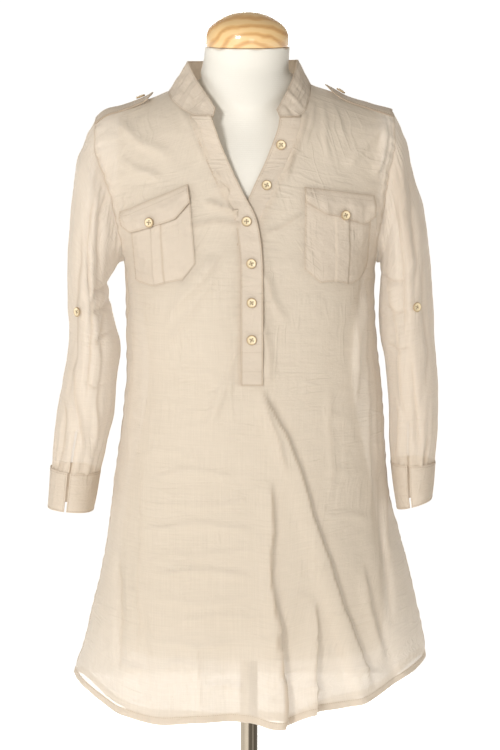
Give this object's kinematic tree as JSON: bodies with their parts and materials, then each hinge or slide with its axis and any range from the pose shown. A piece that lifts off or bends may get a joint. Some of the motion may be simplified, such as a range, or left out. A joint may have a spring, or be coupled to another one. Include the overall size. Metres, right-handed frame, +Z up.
{
  "type": "long-sleeve blouse on a dress form",
  "caption": "Beige voile popover tunic blouse with band collar, half placket, flap pockets, epaulettes and cuffs, hollow on a limbless dress form with a stand.",
  "frame": {"origin": "centre of the stand's underside, on the floor", "axes": "+Z up, -Y towards the garment's front, +X towards the viewer's right"},
  "size_m": [0.468, 0.348, 1.4699],
  "materials": {
    "voile": "light beige cotton voile, plain weave, matt",
    "voile_double": "the same voile in two layers, pressed and topstitched",
    "form_cover": "cream knitted cover, matt",
    "varnished_wood": "turned and varnished, visible rings",
    "chrome": "polished tube",
    "stand_paint": "satin grey",
    "button_shell": "pale shell look with a browned rim"
  },
  "bodies": {
    "root": {"front": "voile", "back": "voile", "sleeve_l": "voile", "sleeve_r": "voile", "pocket_l": "voile", "pocket_r": "voile", "placket_over": "voile_double", "placket_under": "voile_double", "flap_l": "voile_double", "flap_r": "voile_double", "epaulette_l": "voile_double", "epaulette_r": "voile_double", "collar": "voile_double", "cuff_l": "voile_double", "cuff_r": "voile_double", "form_torso": "form_cover", "neck_cap": "varnished_wood", "pole": "chrome", "stand_base": "stand_paint", "button_1": "button_shell", "button_2": "button_shell", "button_3": "button_shell", "button_4": "button_shell", "button_5": "button_shell", "button_6": "button_shell", "button_flap_l": "button_shell", "button_flap_r": "button_shell", "button_strap_l": "button_shell", "button_strap_r": "button_shell", "button_tab_l": "button_shell", "button_tab_r": "button_shell"}
  },
  "joints": []
}
